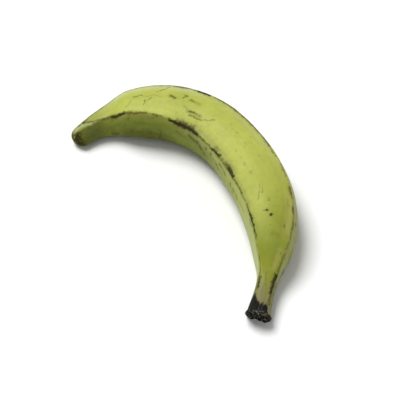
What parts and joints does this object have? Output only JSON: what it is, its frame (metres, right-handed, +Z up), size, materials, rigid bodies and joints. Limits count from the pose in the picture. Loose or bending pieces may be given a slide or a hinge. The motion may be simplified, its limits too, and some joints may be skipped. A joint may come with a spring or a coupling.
{
  "type": "plantain",
  "caption": "Green plantain lying on its side: bent, ridged fruit with a blunt flower end and a slim stem that widens to a dark torn cut.",
  "frame": {"origin": "on the surface the fruit lies on, under the middle of its box", "axes": "+X from the flower end to the cut stem, +Y towards the outside of the bend, +Z up"},
  "size_m": [0.2402, 0.113, 0.0417],
  "materials": {
    "peel": "satin green peel with dark worn ridges and a blackened cut stem"
  },
  "bodies": {
    "root": {"plantain": "peel"}
  },
  "joints": []
}
